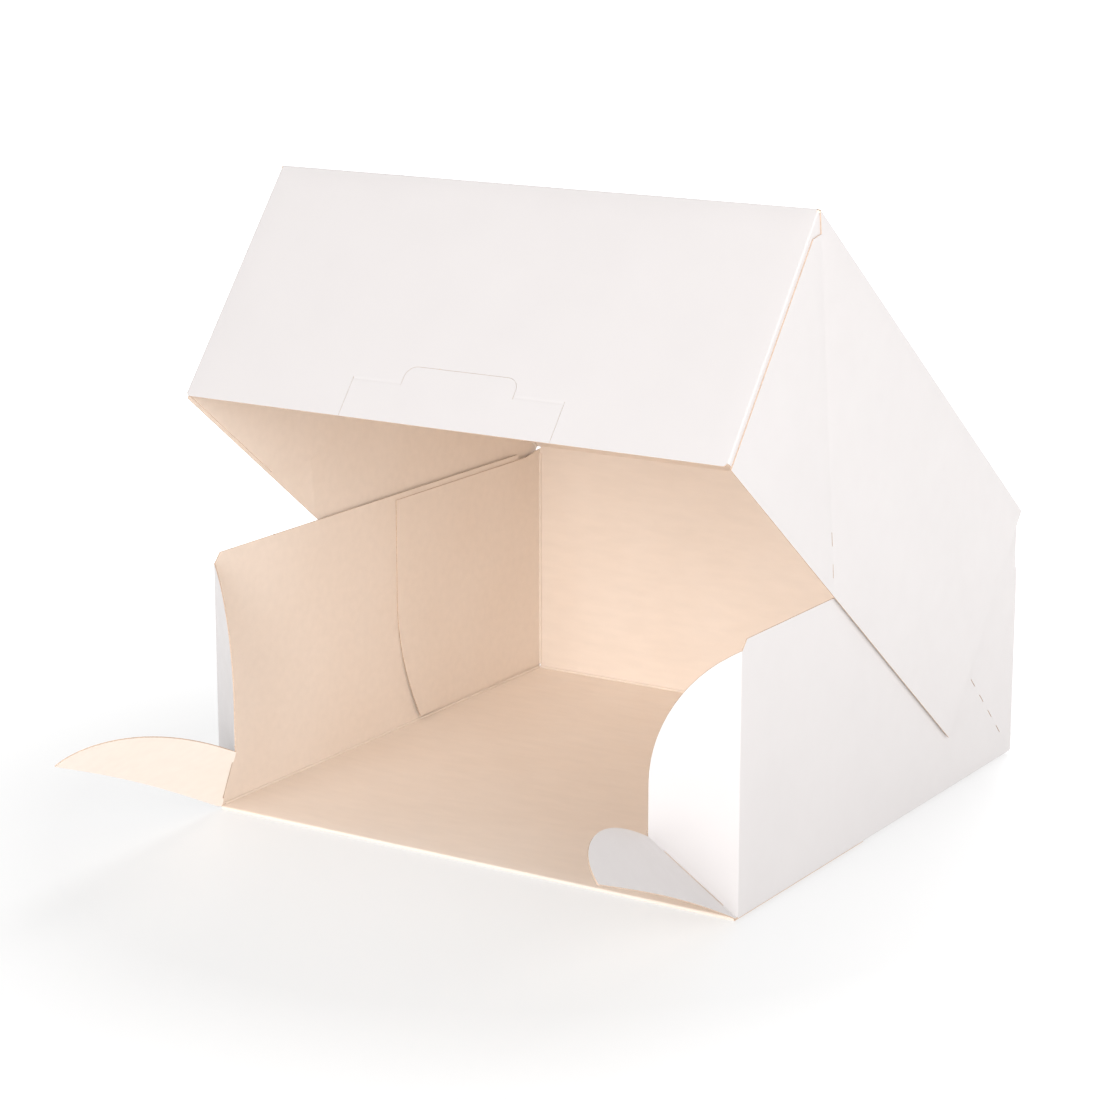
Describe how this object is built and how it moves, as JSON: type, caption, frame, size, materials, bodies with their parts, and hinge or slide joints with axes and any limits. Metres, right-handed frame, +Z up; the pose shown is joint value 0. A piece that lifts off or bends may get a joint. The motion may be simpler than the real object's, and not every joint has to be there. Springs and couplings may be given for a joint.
{
  "type": "square cardboard box",
  "caption": "Square folding carton of coated board with a hinged lid propped half open, dust flaps at the front and a lock panel in the lid's front.",
  "frame": {"origin": "centre of the face that the carton stands on, which is the front wall folded back under the floor", "axes": "+X to the carton's right seen from its open front, +Y from the front to the hinge wall, +Z up"},
  "size_m": [0.2526, 0.3524, 0.2664],
  "materials": {
    "coated_board": "satin coated white outside, matt cream inside"
  },
  "bodies": {
    "tray": {"tray": "coated_board"},
    "lid": {"lid": "coated_board"},
    "lock_panel": {"lock_panel": "coated_board"}
  },
  "joints": [
    {"name": "lid_hinge", "type": "hinge", "parent": "tray", "child": "lid", "pos_m": [0, 0.196, 0.111], "axis": [-1, 0, 0], "range_deg": [-21, 160]},
    {"name": "lock_crease", "type": "hinge", "parent": "lid", "child": "lock_panel", "pos_m": [0, -0.05772, 0.19333], "axis": [1, 0, 0], "range_deg": [0, 150]}
  ]
}
